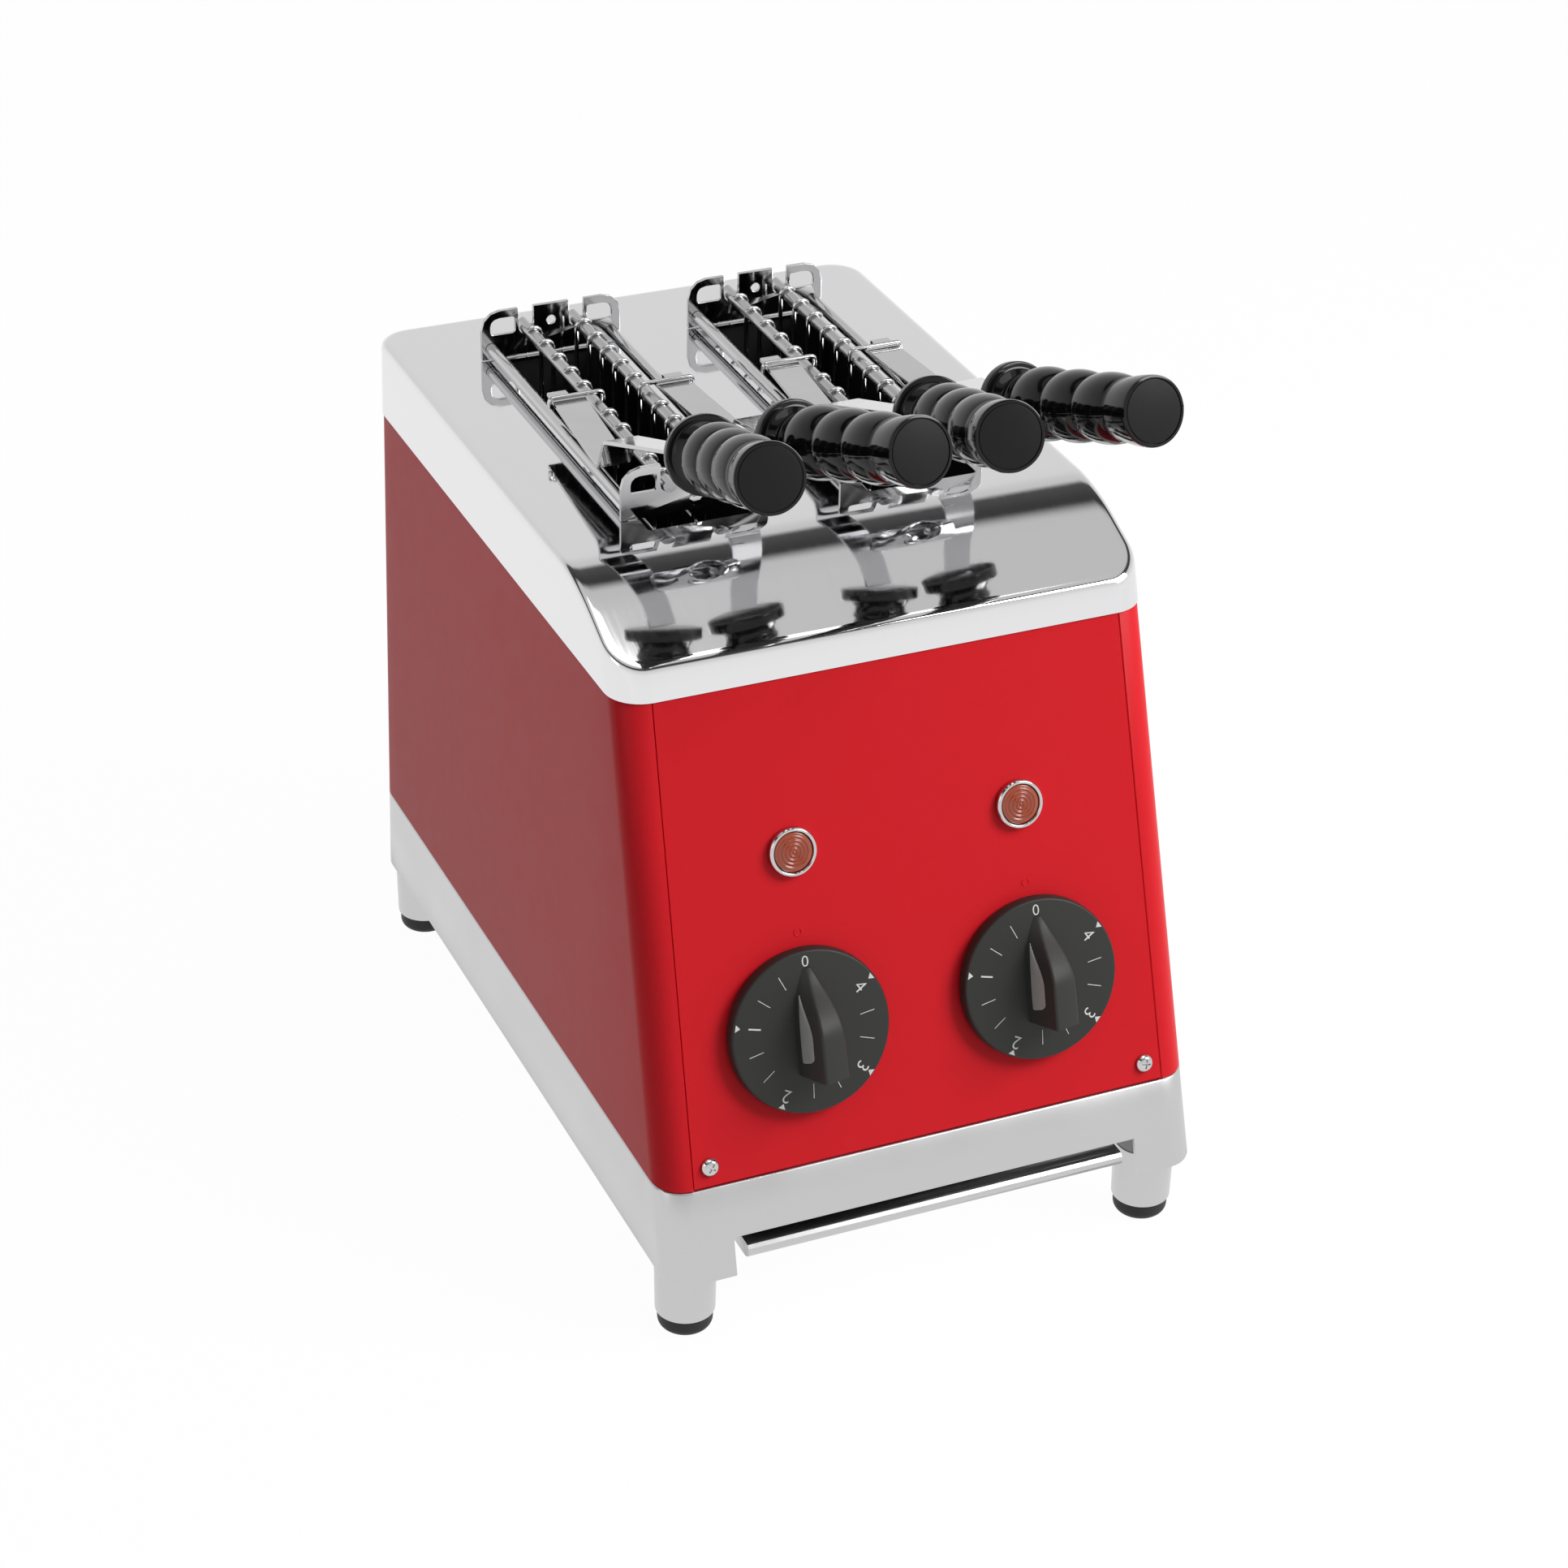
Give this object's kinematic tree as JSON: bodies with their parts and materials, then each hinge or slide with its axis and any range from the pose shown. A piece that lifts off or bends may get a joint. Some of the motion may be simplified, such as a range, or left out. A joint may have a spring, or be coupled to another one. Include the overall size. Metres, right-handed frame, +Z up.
{
  "type": "two-slot bar toaster",
  "caption": "Upright bar toaster with lift-out sandwich tongs in slots through a polished cover, a leaning red front with timer knobs and lamps, and turned legs with a pull-out crumb tray.",
  "frame": {"origin": "on the worktop, at the centre of the footprint of the bounding box", "axes": "+X to the right of someone facing the front panel, -Y out of the front, +Z up"},
  "size_m": [0.2166, 0.3332, 0.3586],
  "materials": {
    "chrome": "bright chrome plate",
    "polished_steel": "mirror-polished stainless sheet",
    "satin_grey": "satin silver grey",
    "red_paint": "fine-textured satin red enamel",
    "black_steel": "heat-blackened sheet",
    "quartz": "frosted quartz heating tubes",
    "rubber": "matt black rubber",
    "knob_plastic": "matt dark grey",
    "insert_grey": "light grey",
    "amber_lens": "clear amber",
    "handle_gloss": "glossy black",
    "timer_case": "unpainted moulding"
  },
  "bodies": {
    "housing": {"base_skirt": "satin_grey", "bracket_back_left": "chrome", "bracket_back_right": "chrome", "bracket_front_left": "chrome", "bracket_front_right": "chrome", "bracket_rivet_left": "chrome", "bracket_rivet_right": "chrome", "cable_gland": "rubber", "foot_pad_back_left": "rubber", "foot_pad_back_right": "rubber", "foot_pad_front_left": "rubber", "foot_pad_front_right": "rubber", "front_panel": "red_paint", "heat_chamber_left": "black_steel", "heat_chamber_right": "black_steel", "heater_left_left": "quartz", "heater_left_right": "quartz", "heater_right_left": "quartz", "heater_right_right": "quartz", "housing_wrap": "red_paint", "lamp_bezel_left": "chrome", "lamp_bezel_right": "chrome", "lamp_lens_left": "amber_lens", "lamp_lens_right": "amber_lens", "leg_back_left": "satin_grey", "leg_back_right": "satin_grey", "leg_front_left": "satin_grey", "leg_front_right": "satin_grey", "panel_screw_left": "chrome", "panel_screw_right": "chrome", "side_tube_left_left": "chrome", "side_tube_left_right": "chrome", "side_tube_right_left": "chrome", "side_tube_right_right": "chrome", "timer_body_left": "timer_case", "timer_body_right": "timer_case", "top_cover": "polished_steel"},
    "tray": {"crumb_tray": "satin_grey"},
    "tongs_left": {"spring_bridge_left": "chrome"},
    "jaw_left_left": {"jaw_grid_left_left": "chrome", "arm_left_left": "chrome", "handle_left_left": "handle_gloss"},
    "jaw_left_right": {"jaw_grid_left_right": "chrome", "arm_left_right": "chrome", "handle_left_right": "handle_gloss"},
    "knob_left": {"timer_knob_left": "knob_plastic", "knob_insert_left": "insert_grey", "timer_shaft_left": "chrome"},
    "tongs_right": {"spring_bridge_right": "chrome"},
    "jaw_right_left": {"jaw_grid_right_left": "chrome", "arm_right_left": "chrome", "handle_right_left": "handle_gloss"},
    "jaw_right_right": {"jaw_grid_right_right": "chrome", "arm_right_right": "chrome", "handle_right_right": "handle_gloss"},
    "knob_right": {"timer_knob_right": "knob_plastic", "knob_insert_right": "insert_grey", "timer_shaft_right": "chrome"}
  },
  "joints": [
    {"name": "tray_slide", "type": "slide", "parent": "housing", "child": "tray", "axis": [0, -1, 0], "range_m": [0, 0.25]},
    {"name": "tongs_left_lift", "type": "slide", "parent": "housing", "child": "tongs_left", "axis": [0, 0, 1], "range_m": [0, 0.145]},
    {"name": "jaw_left_left_hinge", "type": "hinge", "parent": "tongs_left", "child": "jaw_left_left", "pos_m": [-0.054, 0, 0.2825], "axis": [0, 1, 0], "range_deg": [0, 2.8], "stiffness_Nm_per_rad": 1, "springref_deg": -2.86},
    {"name": "jaw_left_right_hinge", "type": "hinge", "parent": "tongs_left", "child": "jaw_left_right", "pos_m": [-0.033, 0, 0.2825], "axis": [0, -1, 0], "range_deg": [0, 2.8], "stiffness_Nm_per_rad": 1, "springref_deg": -2.86},
    {"name": "knob_left_turn", "type": "hinge", "parent": "housing", "child": "knob_left", "pos_m": [-0.0461, -0.14121, 0.11535], "axis": [0, 0.9609, -0.2768], "range_deg": [0, 302]},
    {"name": "tongs_right_lift", "type": "slide", "parent": "housing", "child": "tongs_right", "axis": [0, 0, 1], "range_m": [0, 0.145]},
    {"name": "jaw_right_left_hinge", "type": "hinge", "parent": "tongs_right", "child": "jaw_right_left", "pos_m": [0.033, 0, 0.2825], "axis": [0, 1, 0], "range_deg": [0, 2.8], "stiffness_Nm_per_rad": 1, "springref_deg": -2.86},
    {"name": "jaw_right_right_hinge", "type": "hinge", "parent": "tongs_right", "child": "jaw_right_right", "pos_m": [0.054, 0, 0.2825], "axis": [0, -1, 0], "range_deg": [0, 2.8], "stiffness_Nm_per_rad": 1, "springref_deg": -2.86},
    {"name": "knob_right_turn", "type": "hinge", "parent": "housing", "child": "knob_right", "pos_m": [0.0461, -0.14121, 0.11535], "axis": [0, 0.9609, -0.2768], "range_deg": [0, 302]}
  ],
  "couplings": [
    {"joint": "jaw_left_right_hinge", "follows": "jaw_left_left_hinge", "ratio": 1},
    {"joint": "jaw_right_right_hinge", "follows": "jaw_right_left_hinge", "ratio": 1}
  ]
}
